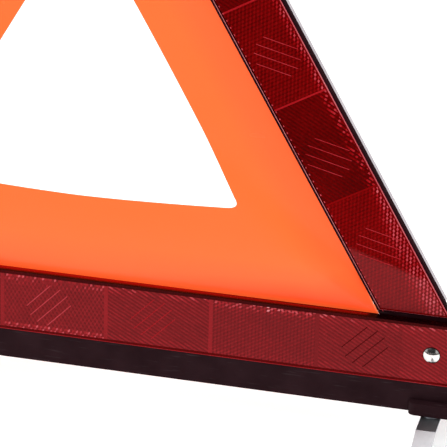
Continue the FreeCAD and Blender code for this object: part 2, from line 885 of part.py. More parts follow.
def check_and_export():
    """Sees that every object is sound, then writes one file for each sub-part."""
    doc.recompute()
    for item in doc.Objects:
        if "Invalid" in item.State or "Error" in item.State:
            raise RuntimeError("%s failed: %s" % (item.Name, item.State))
    os.makedirs("parts", exist_ok=True)
    for item in nodes:
        shape = item.Shape
        if shape.isNull() or not shape.isValid() or not shape.Solids:
            raise RuntimeError(item.Label + " is not a sound solid")
        shape.exportStep("parts/%s.step" % item.Label)
        box = shape.BoundBox
        print(
            "%-18s %d solid  x %.2f..%.2f  y %.2f..%.2f  z %.2f..%.2f  %.1f cm3"
            % (
                item.Label,
                len(shape.Solids),
                box.XMin,
                box.XMax,
                box.YMin,
                box.YMax,
                box.ZMin,
                box.ZMax,
                shape.Volume / 1000.0,
            )
        )


build_base_beam()
build_base_lens()
build_base_film()
for is_right in (True, False):
    build_arm_frame(is_right)
    build_arm_lens(is_right)
    build_arm_cover(is_right)
    build_arm_film(is_right)
    build_pivot_rivet(is_right)
    build_washers(is_right)
    build_leg_rivet(is_right)
build_sleeve()
build_catch()
build_leg("leg_right_front", True, True)
build_leg("leg_right_rear", True, False)
build_leg("leg_left_front", False, True)
build_leg("leg_left_rear", False, False)
build_leg_washers()
check_and_export()
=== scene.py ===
import math
import random

import bmesh
import bpy
import numpy as np
from mathutils import Matrix, Vector
from mathutils.geometry import delaunay_2d_cdt

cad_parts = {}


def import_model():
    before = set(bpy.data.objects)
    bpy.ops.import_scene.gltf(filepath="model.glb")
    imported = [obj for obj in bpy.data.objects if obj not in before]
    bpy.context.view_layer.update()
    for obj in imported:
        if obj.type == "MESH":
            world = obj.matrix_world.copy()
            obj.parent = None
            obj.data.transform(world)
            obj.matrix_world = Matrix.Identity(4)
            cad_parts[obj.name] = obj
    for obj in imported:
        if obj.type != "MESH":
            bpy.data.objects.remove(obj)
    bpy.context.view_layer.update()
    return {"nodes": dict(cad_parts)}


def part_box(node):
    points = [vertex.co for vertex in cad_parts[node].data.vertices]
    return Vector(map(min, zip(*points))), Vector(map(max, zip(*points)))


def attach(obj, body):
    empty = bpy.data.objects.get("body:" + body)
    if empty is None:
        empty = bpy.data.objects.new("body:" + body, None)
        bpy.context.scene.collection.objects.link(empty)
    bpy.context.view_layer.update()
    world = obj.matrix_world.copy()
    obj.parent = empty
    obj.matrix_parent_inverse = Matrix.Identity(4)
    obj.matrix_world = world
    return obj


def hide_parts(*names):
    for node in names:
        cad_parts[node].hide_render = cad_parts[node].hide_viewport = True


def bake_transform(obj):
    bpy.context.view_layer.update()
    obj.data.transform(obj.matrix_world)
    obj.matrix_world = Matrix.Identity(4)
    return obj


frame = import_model()
MM = 0.001
ROOT3 = math.sqrt(3.0)

# Bars and pivots, in millimetres, as the frame has them
BAR_HALF = 20.0
BASE_END = 248.0
BASE_TOP_END = 233.55
BASE_CORNER = -5.03
BEAM_TOP = 85.0
FILM_FOOT = 53.0
PIVOT_Z = 65.0
SPAN = 444.0
SEGMENT = 66.0


class Bar:
    """A bar's own directions: along it from its pivot, and across it inwards."""

    def __init__(self, x, along, across, front):
        self.x = x
        self.along = along
        self.across = across
        self.front = front

    def point(self, u, w, deep=0.0):
        """World point, in metres, of a place on the bar's front plane."""
        return Vector(
            (
                (self.x + self.along[0] * u + self.across[0] * w) * MM,
                (self.front + deep) * MM,
                (PIVOT_Z + self.along[1] * u + self.across[1] * w) * MM,
            )
        )

    def place(self, x, z):
        """Along and across, in millimetres, of a world point given in millimetres."""
        dx, dz = x - self.x, z - PIVOT_Z
        return (
            dx * self.along[0] + dz * self.along[1],
            dx * self.across[0] + dz * self.across[1],
        )


BASE = Bar(0.0, (1.0, 0.0), (0.0, 1.0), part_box("base_lens")[0].y / MM)
RIGHT = Bar(
    SPAN / 2,
    (-0.5, ROOT3 / 2),
    (-ROOT3 / 2, -0.5),
    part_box("arm_right_lens")[0].y / MM,
)
LEFT = Bar(
    -SPAN / 2,
    (0.5, ROOT3 / 2),
    (ROOT3 / 2, -0.5),
    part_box("arm_left_lens")[0].y / MM,
)


# Node materials


def srgb(red, green, blue):
    """Linear colour with alpha from 0 to 255 values."""
    out = []
    for value in (red, green, blue):
        value /= 255.0
        out.append(value / 12.92 if value <= 0.04045 else ((value + 0.055) / 1.055) ** 2.4)
    return (*out, 1.0)


class Nodes:
    """Small helper that adds nodes to a material and links them."""

    def __init__(self, name):
        self.material = bpy.data.materials.new(name)
        self.material.use_nodes = True
        self.tree = self.material.node_tree
        self.shader = self.tree.nodes["Principled BSDF"]

    def add(self, kind, values=None, **properties):
        made = self.tree.nodes.new(kind)
        for key, value in properties.items():
            setattr(made, key, value)
        for key, value in (values or {}).items():
            if isinstance(value, bpy.types.NodeSocket):
                self.tree.links.new(value, made.inputs[key])
            else:
                made.inputs[key].default_value = value
        return made

    def math(self, operation, first, second=0.5, clamp=False):
        made = self.add(
            "ShaderNodeMath", {0: first, 1: second}, operation=operation, use_clamp=clamp
        )
        return made.outputs[0]

    def noise(self, scale, detail=3.0, stretch=None):
        where = self.add("ShaderNodeTexCoord").outputs["Object"]
        if stretch:
            where = self.add(
                "ShaderNodeMapping", {"Vector": where, "Scale": stretch}
            ).outputs[0]
        return self.add(
            "ShaderNodeTexNoise",
            {"Vector": where, "Scale": scale, "Detail": detail},
        ).outputs["Fac"]

    def ramp(self, fac, stops):
        made = self.add("ShaderNodeValToRGB", {"Fac": fac})
        points = made.color_ramp.elements
        while len(points) < len(stops):
            points.new(0.5)
        for point, (where, colour) in zip(points, stops):
            point.position = where
            point.color = colour
        return made.outputs["Color"]

    def spread(self, fac, low, high):
        """Maps 0..1 to low..high."""
        return self.add(
            "ShaderNodeMapRange", {"Value": fac, "To Min": low, "To Max": high}
        ).outputs["Result"]

    def mix(self, fac, first, second):
        made = self.add("ShaderNodeMix", {0: fac}, data_type="RGBA")
        for slot, value in ((6, first), (7, second)):
            if isinstance(value, bpy.types.NodeSocket):
                self.tree.links.new(value, made.inputs[slot])
            else:
                made.inputs[slot].default_value = value
        return made.outputs[2]

    def bump(self, height, strength, distance):
        made = self.add(
            "ShaderNodeBump", {"Strength": strength, "Distance": distance, "Height": height}
        )
        self.tree.links.new(made.outputs[0], self.shader.inputs["Normal"])

    def link(self, socket, name):
        self.tree.links.new(socket, self.shader.inputs[name])

    def set(self, **values):
        for name, value in values.items():
            self.shader.inputs[name.replace("_", " ")].default_value = value


def black_plastic(name, low, high, gloss):
    """Moulded black ABS with a fine texture and a few faint scuffs."""
    n = Nodes(name)
    cloud = n.noise(60.0, 4.0)
    grain = n.noise(2600.0, 2.0)
    scuffs = n.noise(240.0, 2.0, stretch=(0.25, 1.0, 2.5))
    worn = n.ramp(scuffs, [(0.62, (0, 0, 0, 1)), (0.76, (1, 1, 1, 1))])
    colour = n.ramp(cloud, [(0.3, low), (0.7, high)])
    n.link(n.mix(n.math("MULTIPLY", worn, 0.25), colour, srgb(74, 66, 68)), "Base Color")
    n.link(n.spread(cloud, 0.46, 0.62), "Roughness")
    n.bump(grain, 0.25, 0.00006)
    n.set(IOR=1.5, Specular_IOR_Level=gloss)
    return n.material


def grey_plastic():
    """Pale grey cover moulding, slightly yellowed and dusty."""
    n = Nodes("pale_grey_pp")
    cloud = n.noise(26.0, 5.0)
    specks = n.noise(900.0, 2.0)
    flow = n.noise(34.0, 3.0, stretch=(0.3, 1.0, 1.8))
    colour = n.ramp(cloud, [(0.25, srgb(180, 171, 176)), (0.75, srgb(200, 192, 196))])
    dust = n.ramp(specks, [(0.64, (0, 0, 0, 1)), (0.74, (1, 1, 1, 1))])
    colour = n.mix(n.math("MULTIPLY", dust, 0.2), colour, srgb(150, 144, 144))
    n.link(n.mix(n.math("MULTIPLY", flow, 0.16), colour, srgb(168, 164, 170)), "Base Color")
    n.link(n.spread(flow, 0.38, 0.6), "Roughness")
    n.bump(n.noise(1500.0, 3.0), 0.2, 0.00008)
    return n.material


def metal(name, low, high, rough, grain, brushed=None):
    """Plated steel: cloudy tone, fine scratches and a slightly uneven polish."""
    n = Nodes(name)
    cloud = n.noise(grain, 4.0)
    scratch = n.noise(grain * 14.0, 3.0, stretch=brushed or (0.2, 1.0, 1.6))
    colour = n.ramp(cloud, [(0.3, low), (0.7, high)])
    lines = n.ramp(scratch, [(0.6, (0, 0, 0, 1)), (0.72, (1, 1, 1, 1))])
    colour = n.mix(n.math("MULTIPLY", lines, 0.18), colour, srgb(120, 120, 124))
    n.link(colour, "Base Color")
    polish = n.math("ADD", cloud, n.math("MULTIPLY", lines, 0.4))
    n.link(n.spread(polish, *rough), "Roughness")
    n.bump(scratch, 0.12, 0.00005)
    n.set(Metallic=1.0)
    return n.material


def lens_plastic(name, stops, gloss):
    """Red acrylic: tone paints light and shade for how each prism face lies, the veil
    attribute a painted pale reflection, and lit the film's light painted as a glow through
    the lens.
    """
    n = Nodes(name)
    tone = n.add("ShaderNodeAttribute", attribute_name="tone").outputs["Fac"]
    cloud = n.noise(38.0, 3.0)
    speck = n.noise(900.0, 2.0)
    shade = n.math("ADD", tone, n.spread(cloud, -0.07, 0.07))
    shade = n.math("ADD", shade, n.spread(speck, -0.06, 0.06), clamp=True)
    colour = n.ramp(shade, stops)
    reflection_veil = n.add("ShaderNodeAttribute", attribute_name="reflection_veil").outputs["Fac"]
    colour = n.mix(reflection_veil, colour, srgb(176, 112, 116))
    lit = n.add("ShaderNodeAttribute", attribute_name="lit").outputs["Fac"]
    n.link(n.mix(lit, colour, srgb(152, 8, 4)), "Base Color")
    n.link(n.spread(speck, 0.16, 0.34), "Roughness")
    n.bump(n.noise(1400.0, 2.0), 0.1, 0.00004)
    n.set(IOR=1.49, Specular_IOR_Level=gloss)
    return n.material


def film_plastic():
    """Fluorescent orange film, with painted shade: redder and darker towards the corner and
    the beam, and a little near the arm.
    """
    n = Nodes("orange_film")
    beam = n.add("ShaderNodeAttribute", attribute_name="from_beam").outputs["Fac"]
    arm = n.add("ShaderNodeAttribute", attribute_name="from_arm").outputs["Fac"]
    broad = n.noise(9.0, 2.0)
    fine = n.noise(1700.0, 3.0)
    ripple = n.noise(46.0, 2.0, stretch=(0.5, 1.0, 1.0))
    far = n.math("MULTIPLY", n.math("SUBTRACT", arm, 14.0), 0.07, clamp=True)
    rise = n.math("ADD", n.math("MULTIPLY", beam, 0.2), 0.4, clamp=True)
    fall = n.math("ADD", n.math("MULTIPLY", beam, -0.05), 1.25, clamp=True)
    away = n.math("ADD", n.math("MULTIPLY", arm, -0.005), 1.2, clamp=True)
    corner = n.math("MULTIPLY", n.math("MULTIPLY", rise, fall), away)
    shade = n.math("ADD", n.math("MULTIPLY", far, 0.5), 0.5)
    shade = n.math("MULTIPLY", shade, n.math("SUBTRACT", 1.0, corner))
    shade = n.math("ADD", shade, n.spread(broad, -0.08, 0.08), clamp=True)
    colour = n.ramp(
        shade,
        [
            (0.0, srgb(254, 59, 24)),
            (0.5, srgb(254, 89, 44)),
            (1.0, srgb(255, 96, 42)),
        ],
    )
    # Paler line along the film's edge by the arm.
    pale_edge = n.ramp(
        n.math("MULTIPLY", arm, 0.1), [(0.02, (0.7, 0.7, 0.7, 1)), (0.09, (0, 0, 0, 1))]
    )
    colour = n.mix(pale_edge, colour, srgb(244, 132, 92))
    n.link(n.mix(n.math("MULTIPLY", fine, 0.05), colour, srgb(255, 150, 90)), "Base Color")
    n.link(n.spread(ripple, 0.2, 0.3), "Roughness")
    n.bump(ripple, 0.15, 0.0004)
    n.set(IOR=1.5, Specular_IOR_Level=0.22)
    # The emission is painted light: a glow of strength 0.28 that brightens the film, shaded
    # parts too.
    n.set(Emission_Color=(1.0, 0.16, 0.025, 1.0), Emission_Strength=0.28)
    return n.material


BLACK = black_plastic("black_abs", srgb(32, 15, 19), srgb(42, 24, 28), 0.03)
# The arm frames use a copy of the same black ABS, darker and redder and less glossy:
# painted shade on the arms' sides.
ARM_BLACK = black_plastic("black_abs_arm", srgb(30, 9, 13), srgb(40, 16, 20), 0.005)
GREY = grey_plastic()
RED = lens_plastic(
    "red_reflector",
    [
        (0.0, srgb(12, 0, 1)),
        (0.07, srgb(46, 0, 0)),
        (0.22, srgb(86, 0, 2)),
        (0.45, srgb(118, 7, 12)),
        (0.62, srgb(152, 20, 27)),
        (0.8, srgb(194, 72, 80)),
        (1.0, srgb(232, 150, 154)),
    ],
    0.045,
)
# Copy of the same red acrylic for the arms, its ramp a little brighter and its gloss lower
# to suit how the arms are lit: painted light on the same plastic.
ARM_RED = lens_plastic(
    "red_reflector_arm",
    [
        (0.0, srgb(10, 0, 0)),
        (0.07, srgb(50, 0, 0)),
        (0.22, srgb(90, 0, 0)),
        (0.45, srgb(130, 3, 5)),
        (0.62, srgb(162, 20, 27)),
        (0.8, srgb(200, 72, 82)),
        (1.0, srgb(232, 150, 154)),
    ],
    0.02,
)
ORANGE = film_plastic()
NICKEL = metal("nickel_plate", srgb(222, 218, 214), srgb(244, 240, 236), (0.08, 0.22), 90.0)
ZINC = metal("zinc_plate", srgb(176, 178, 184), srgb(206, 206, 208), (0.22, 0.42), 60.0)
STEEL = metal(
    "galvanised_steel",
    srgb(150, 153, 158),
    srgb(186, 188, 190),
    (0.3, 0.5),
    40.0,
    brushed=(1.6, 0.15, 1.0),
)

FINISHES = {
    "base_beam": BLACK,
    "arm_right_frame": ARM_BLACK,
    "arm_left_frame": ARM_BLACK,
    "spacer_left": BLACK,
    "arm_right_cover": GREY,
    "arm_left_cover": GREY,
    "rivet_right": NICKEL,
    "rivet_left": NICKEL,
    "snap_cap": NICKEL,
    "snap_stud": NICKEL,
    "snap_socket": NICKEL,
    "snap_post": NICKEL,
    "washers_right": ZINC,
    "washers_left": ZINC,
    "leg_washers": ZINC,
    "leg_rivet_right": ZINC,
    "leg_rivet_left": ZINC,
    "leg_right_front": STEEL,
    "leg_right_rear": STEEL,
    "leg_left_front": STEEL,
    "leg_left_rear": STEEL,
}
for label, finish in FINISHES.items():
    for held in frame["nodes"][label].material_slots:
        held.material = finish


def new_piece(name, mesh, material):
    made = bpy.data.objects.new(name, mesh)
    bpy.context.scene.collection.objects.link(made)
    made.data.materials.append(material)
    return made


# Reflector lenses


def anticlockwise(points):
    """The outline in the order that has its inside on the left."""
    turns = sum(
        a[0] * b[1] - b[0] * a[1] for a, b in zip(points, points[1:] + points[:1])
    )
    return points if turns > 0 else points[::-1]


def shrink(points, by):
    """Moves a convex outline's sides inwards; the points run round it anticlockwise."""
    lines = []
    for a, b in zip(points, points[1:] + points[:1]):
        dx, dy = b[0] - a[0], b[1] - a[1]
        size = math.hypot(dx, dy)
        nx, ny = -dy / size, dx / size
        lines.append((nx, ny, nx * a[0] + ny * a[1] + by))
    out = []
    for (a, b, c), (d, e, f) in zip(lines[-1:] + lines[:-1], lines):
        det = a * e - b * d
        out.append(((c * e - b * f) / det, (a * f - c * d) / det))
    return out


def prism_cells(low, high, style):
    """Faces of prisms over a rectangle: cube corners, or rows if the style has a rise."""
    pitch = style["pitch"]
    turn = math.radians(style["turn"])
    cos, sin = math.cos(turn), math.sin(turn)
    reach = math.hypot(high[0] - low[0], high[1] - low[1]) / 2 + 2 * pitch
    mid = ((low[0] + high[0]) / 2, (low[1] + high[1]) / 2)
    side = pitch / ROOT3
    rise = style.get("rise", pitch * ROOT3 / 2)
    rows = int(reach / rise) + 1
    columns = int(reach / pitch) + 1
    for row in range(-rows, rows + 1):
        for column in range(-columns, columns + 1):
            cx = (column + 0.5 * (row % 2)) * pitch
            cy = row * rise
            px = mid[0] + cx * cos - cy * sin
            py = mid[1] + cx * sin + cy * cos
            if not (
                low[0] - pitch < px < high[0] + pitch
                and low[1] - pitch < py < high[1] + pitch
            ):
                continue
            if "rise" in style:
                for kind, (foot, head) in enumerate(((-0.5, 0.0), (0.0, 0.5))):
                    corners = []
                    for i, j in ((-0.5, foot), (0.5, foot), (0.5, head), (-0.5, head)):
                        x, y = i * pitch, j * rise
                        deep = RELIEF if j == 0.0 else 0.0
                        corners.append(
                            (px + x * cos - y * sin, py + x * sin + y * cos, deep)
                        )
                    yield corners, style["tones"][kind], (px, py, kind)
                continue
            for kind in range(3):
                corners = [(px, py, RELIEF)]
                for step, deep in ((-1, RELIEF / 2), (0, 0.0), (1, RELIEF / 2)):
                    angle = turn + math.radians(90.0 + 120.0 * kind + 60.0 * step)
                    corners.append(
                        (px + side * math.cos(angle), py + side * math.sin(angle), deep)
                    )
                yield corners, style["tones"][kind], (px, py, kind)


def clip(part, polygon):
    """Cuts a small mesh to a convex anticlockwise outline, in the bar's own plane."""
    for a, b in zip(polygon, polygon[1:] + polygon[:1]):
        bmesh.ops.bisect_plane(
            part,
            geom=part.verts[:] + part.edges[:] + part.faces[:],
            dist=1e-5,
            plane_co=Vector((a[0], a[1], 0.0)),
            plane_no=Vector((b[1] - a[1], a[0] - b[0], 0.0)),
            clear_outer=True,
        )


class Lens:
    """One reflector: bevelled rim, prism fields between flat bands, ribs, plain back."""

    def __init__(self, name, bar, outline, bevel, rim, edge_tones, rim_tones):
        self.name = name
        self.bar = bar
        self.bm = bmesh.new()
        self.tone = self.bm.faces.layers.float.new("tone")
        self.reflection_veil = self.bm.faces.layers.float.new("reflection_veil")
        self.lit = self.bm.verts.layers.float.new("lit")
        self.dice = random.Random(name)
        outer = anticlockwise(outline)
        inner = shrink(outer, bevel)
        self.field = shrink(outer, bevel + rim)
        out = list(zip(outer, inner, self.field))
        for (a, b, c), (d, e, f) in zip(out, out[1:] + out[:1]):
            # Bevel and rim tones are painted light and shade: the bevel gets a highlight or
            # shade line along each edge, with one value for edges on the w > 0 side and
            # another for the rest.
            upper = a[1] > 0 and d[1] > 0
            edge_tone = edge_tones[0] if upper else edge_tones[1]
            rim_tone = rim_tones[0] if upper else rim_tones[1]
            self.face([(*a, bevel), (*d, bevel), (*e, 0.0), (*b, 0.0)], edge_tone)
            self.face([(*a, THICK), (*d, THICK), (*d, bevel), (*a, bevel)], 0.3)
            self.face([(*b, 0.0), (*e, 0.0), (*f, 0.0), (*c, 0.0)], rim_tone)
        self.face([(*p, THICK) for p in reversed(outer)], 0.3)

    def face(self, points, tone, lit=None, reflection_veil=0.0):
        made = self.bm.faces.new([self.bm.verts.new(self.bar.point(*p)) for p in points])
        made[self.tone] = tone
        made[self.reflection_veil] = reflection_veil
        for v, value in zip(made.verts, lit or []):
            v[self.lit] = value

    def patch(self, left, right, low, high, tone):
        """Flat rectangle laid just in front of the lens."""
        corners = ((left, high), (right, high), (right, low), (left, low))
        self.face([(*p, -0.01) for p in corners], tone)

    def top_wall(self, half, top, back):
        """Wall over the top of the bar: the film's light through it from behind is painted
        as a glow, which fades out past |u| = 180 as painted shadow where the arms stand.
        """
        level = self.bar.point(0.0, top).z
        gone = [f for f in self.bm.faces if min(v.co.z for v in f.verts) > level - 1e-5]
        bmesh.ops.delete(self.bm, geom=gone, context="FACES")
        # The steps paint the glow brighter towards the back of the wall, where the film
        # stands behind it.
        steps = [(BASE_BEVEL, 0.0), (1.5, 0.04), (2.9, 0.5), (4.4, 0.85), (back, 1.0)]
        ends = [-half, -183.0, -180.0, -60.0, 60.0, 180.0, 183.0, half]
        for left, right in zip(ends, ends[1:]):
            for (near, dim), (far, bright) in zip(steps, steps[1:]):
                points = [(left, near), (right, near), (right, far), (left, far)]
                lit = [
                    value * {60.0: 1.0, 180.0: 0.75}.get(abs(u), 0.0)
                    for (u, _), value in zip(points, (dim, dim, bright, bright))
                ]
                self.face([(u, top, deep) for u, deep in points], 0.0, lit)
            ring = ((left, top), (right, top), (right, top - 1.0), (left, top - 1.0))
            self.face([(*p, back) for p in ring], 0.3)

    def region(self, start, end, style, glow, tone=0.5, reflection_veil=None):
        """Fills the field from start to end with prisms, or with a flat band."""
        low = min(p[1] for p in self.field)
        high = max(p[1] for p in self.field)
        box = [(start, low), (end, low), (end, high), (start, high)]
        flat = bmesh.new()
        flat.faces.new([flat.verts.new((*p, 0.0)) for p in box])
        clip(flat, self.field)
        if style is None:
            veil = reflection_veil((start + end) / 2, 0.0) if reflection_veil else 0.0
            for cut in flat.faces:
                self.face([v.co for v in cut.verts], tone, reflection_veil=veil)
            flat.free()
            return
        for cut in flat.faces:
            rim = [v.co for v in cut.verts]
            for a, b in zip(rim, rim[1:] + rim[:1]):
                front = [(*p.xy, 0.0) for p in (a, b)]
                back = [(*p.xy, RELIEF) for p in (b, a)]
                self.face(front + back, 0.1)
        flat.free()
        part = bmesh.new()
        layer = part.faces.layers.float.new("tone")
        for corners, shade, place in prism_cells((start, low), (end, high), style):
            made = part.faces.new([part.verts.new(c) for c in corners])
            made[layer] = shade + glow(*place, self.dice) + self.dice.uniform(-0.03, 0.03)
        clip(part, box)
        clip(part, self.field)
        for cut in part.faces:
            mid = cut.calc_center_median()
            veil = reflection_veil(mid.x, mid.y) if reflection_veil else 0.0
            self.face([v.co for v in cut.verts], cut[layer], reflection_veil=veil)
        part.free()

    def fields(self, borders, styles, glow, band, tones, reflection_veil=None):
        """Prism fields between borders, with a flat band on each border."""
        for low, high, style in zip(borders, borders[1:], styles):
            self.region(low + band / 2, high - band / 2, style, glow, reflection_veil=reflection_veil)
        for border, tone in zip(borders[1:-1], tones):
            self.region(border - band / 2, border + band / 2, None, glow, tone, reflection_veil)

    def dots(self, low, high, gap, tone):
        """Row of small pale prism tips along the inner edge, painted as highlights."""
        w = max(p[1] for p in self.field) - 0.2
        for u in np.arange(low, high, gap):
            self.patch(u, u + 1.0, w - 0.55, w, tone)

    def ribs(self, middle, tone, wide=0.55, shift=0.0):
        """Four slanting ribs across a segment."""
        turn = math.radians(46.0)
        for i, half in enumerate((11.0, 14.0, 14.0, 11.0)):
            u = middle - 10.0 + 4.4 * i
            w = shift + 5.5 - 3.9 * i
            dx, dy = half * math.cos(turn), half * math.sin(turn)
            nx, ny = -math.sin(turn) * wide / 2, math.cos(turn) * wide / 2
            foot = [
                (u - dx - nx, w - dy - ny),
                (u + dx - nx, w + dy - ny),
                (u + dx + nx, w + dy + ny),
                (u - dx + nx, w - dy + ny),
            ]
            top = [(x + (u - x) * 0.02, y + (w - y) * 0.02) for x, y in foot]
            self.face([(*p, -0.03) for p in top], tone)
            sides = list(zip(foot, top))
            for (a, b), (c, d) in zip(sides, sides[1:] + sides[:1]):
                self.face([(*a, 0.3), (*c, 0.3), (*d, -0.03), (*b, -0.03)], tone)

    def collar(self, centre, inner, outer, tone, clear=False):
        """Flat ring round a rivet or a button, with an open middle if clear is set."""
        if clear:
            mid = self.bar.point(*centre)
            gone = []
            for f in self.bm.faces:
                away = f.calc_center_median() - mid
                if away.y < 0.0012 and away.xz.length < (inner + outer) / 2 * MM:
                    gone.append(f)
            bmesh.ops.delete(self.bm, geom=gone, context="FACES")
        ring = [(math.cos(a), math.sin(a)) for a in np.linspace(0, 2 * math.pi, 41)[:-1]]
        for (c, s), (d, t) in zip(ring, ring[1:] + ring[:1]):
            a = (centre[0] + inner * c, centre[1] + inner * s)
            b = (centre[0] + outer * c, centre[1] + outer * s)
            e = (centre[0] + inner * d, centre[1] + inner * t)
            f = (centre[0] + outer * d, centre[1] + outer * t)
            self.face([(*a, -0.03), (*b, -0.03), (*f, -0.03), (*e, -0.03)], tone)
            self.face([(*b, -0.03), (*b, 0.5), (*f, 0.5), (*f, -0.03)], tone)
            if clear:
                self.face([(*a, -0.03), (*e, -0.03), (*e, THICK), (*a, THICK)], tone)

    def finish(self, body, node, material):
        bm = self.bm
        bmesh.ops.remove_doubles(bm, verts=bm.verts[:], dist=2e-6)
        bm.normal_update()
        middle = (self.bar.front + THICK / 2) * MM
        for f in bm.faces:
            outward = -1.0 if f.calc_center_median().y < middle else 1.0
            if f.normal.y * outward < -0.01:
                f.normal_flip()
        mesh = bpy.data.meshes.new(self.name)
        bm.to_mesh(mesh)
        bm.free()
        piece = new_piece(self.name, mesh, material)
        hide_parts(node)
        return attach(piece, body)


RELIEF = 0.12
THICK = 2.8
WALL_DEEP = 6.4
FIRST_SEGMENT = 43.6
LENS_FOOT = 87.2
BASE_BEVEL = 0.06
ARM_BEVEL = 0.5
# Each style's tones paint light and shade on its kinds of prism face.
HONEY = {"pitch": 2.55, "turn": 0.0, "tones": (0.44, 0.3, 0.48)}
COLUMNS = {"pitch": 2.5, "turn": 90.0, "tones": (0.3, 0.48, 0.38)}
HATCH = {"pitch": 2.9, "rise": 2.25, "turn": -29.0, "tones": (0.33, 0.48)}
DARK_HATCH = {"pitch": 1.45, "rise": 2.25, "turn": 31.0, "tones": (0.17, 0.24)}
DARK_HONEY = {"pitch": 2.55, "turn": 30.0, "tones": (0.26, 0.36, 0.2)}


def smooth(value):
    value = min(max(value, 0.0), 1.0)
    return value * value * (3.0 - 2.0 * value)


def base_glow(u, w, kind, dice):
    """Painted highlights: mottled bright cells along the top edge, a scalloped row along
    the bottom, and slightly paler ends.
    """
    glow = 0.0
    if w > 11.5 and kind:
        glow += dice.choice((0.0, 0.08, 0.22)) * (w - 11.5) / 5.0
        if 120.0 < abs(u) < 160.0 and w > 14.5:
            glow += dice.choice((0.0, 0.08, 0.2))
    if w < -14.5 and kind:
        glow += 0.05
        if -46.0 < u < 19.0:
            glow += 0.14 + 0.12 * math.cos(u * 2 * math.pi / 4.2)
    if abs(u) > 204:
        glow += 0.04
    return glow


def arm_glow(u, w, kind, dice):
    """Painted highlights: columns of bright prism faces along the outer edge, and a paler
    foot.
    """
    glow = 0.0
    if kind == 1:
        wide = 5.0 + 7.0 * smooth((112.0 - u) / 50.0)
        edge = smooth((wide - 18.0 - w) / wide + 0.45)
        if int((u - FIRST_SEGMENT) / SEGMENT) % 2:
            glow += dice.choice((0.0, 0.12, 0.42)) * edge
        else:
            glow += (0.34 + dice.uniform(-0.1, 0.06)) * edge
    if u < 109.0:
        glow += 0.04
    if u < 62.0 + 1.1 * w:
        glow += 0.04
    return glow


def base_reflection_veil(u, w):
    """Even painted reflection, a pale veil over the bottom lens."""
    return 0.05


def arm_reflection_veil(u, w):
    """Painted reflection: a pale veil over the foot of the arm's lens."""
    return 0.08 * smooth((64.0 + 1.1 * w - u) / 6.0)


outline = [
    (-BASE_END, -BAR_HALF),
    (BASE_END, -BAR_HALF),
    (BASE_END, BASE_CORNER),
    (BASE_TOP_END, BAR_HALF),
    (-BASE_TOP_END, BAR_HALF),
    (-BASE_END, BASE_CORNER),
]
bottom = Lens("lens_bottom", BASE, outline, BASE_BEVEL, 1.9, (0.0, 0.66), (0.11, 0.2))
base_borders = [-250.0] + [-178.3 + SEGMENT * i for i in range(6)] + [250.0]
bottom.fields(
    base_borders,
    [HONEY, HATCH, COLUMNS, HONEY, HATCH, COLUMNS, HATCH],
    base_glow,
    2.4,
    [0.5, 0.5, 0.5, 0.52, 0.54, 0.4],
    base_reflection_veil,
)
bottom.top_wall(BASE_TOP_END, BAR_HALF, WALL_DEEP)
# Thin pale strip along the bottom edge: a painted highlight on the lens's edge.
bottom.patch(-BASE_END, BASE_END, -BAR_HALF, 0.4 - BAR_HALF, 0.62)
# Pale rib tones paint highlights on the ribs.
for centre, tone in ((-145.3, 0.68), (-13.3, 0.72), (52.7, 0.62), (184.7, 0.17)):
    bottom.ribs(centre, tone)
# Dark flat rings round the rivets: painted shadow rings.
for pivot in (-SPAN / 2, SPAN / 2):
    bottom.collar((pivot, 0.0), 4.4, 5.35, 0.05)
bottom.finish("base", "base_lens", RED)

for label, bar, corners in (
    (
        "right",
        RIGHT,
        [(230.77, LENS_FOOT), (187.59, LENS_FOOT), (1.5, 409.52), (23.09, 446.92)],
    ),
    (
        "left",
        LEFT,
        [
            (-187.59, LENS_FOOT),
            (-230.77, LENS_FOOT),
            (-7.33, 474.22),
            (7.33, 474.22),
            (21.59, 449.52),
        ],
    ),
):
    outline = [bar.place(x, z) for x, z in corners]
    side = Lens("lens_" + label, bar, outline, ARM_BEVEL, 0.9, (0.94, 0.84), (0.05, 0.3))
    ends = [p[0] for p in side.field]
    borders = [min(ends) - 3.0]
    marks = [FIRST_SEGMENT + SEGMENT * i for i in range(1, 7)]
    borders += [t for t in marks if t < max(ends) - 4.0]
    borders.append(max(ends) + 3.0)
    styles = [DARK_HONEY, DARK_HATCH] * 4
    side.fields(borders, styles, arm_glow, 1.1, [0.42] + [0.58] * 6, arm_reflection_veil)
    side.dots(min(ends) + 3.0, max(ends) - 20.0, 4.8, 0.74)
    # The ribs' pale tone is a painted highlight.
    for i in range(len(borders) - 2):
        hatched = i % 2
        middle = FIRST_SEGMENT + SEGMENT * (i + 0.5) - 2.7 * hatched
        side.ribs(middle, 0.66, 0.4, 1.5 * hatched)
    if label == "right":
        side.collar(bar.place(18.5, 417.47), 5.45, 6.4, 0.3, clear=True)
    side.finish(label + "_arm", "arm_%s_lens" % label, ARM_RED)


# Orange film


def along(points, gap):
    """Points at most gap apart along a path."""
    out = []
    for (ax, az), (bx, bz) in zip(points, points[1:]):
        dx, dz = bx - ax, bz - az
        count = max(1, math.ceil(math.hypot(dx, dz) / gap))
        out += [(ax + dx * i / count, az + dz * i / count) for i in range(count)]
    return out + [points[-1]]


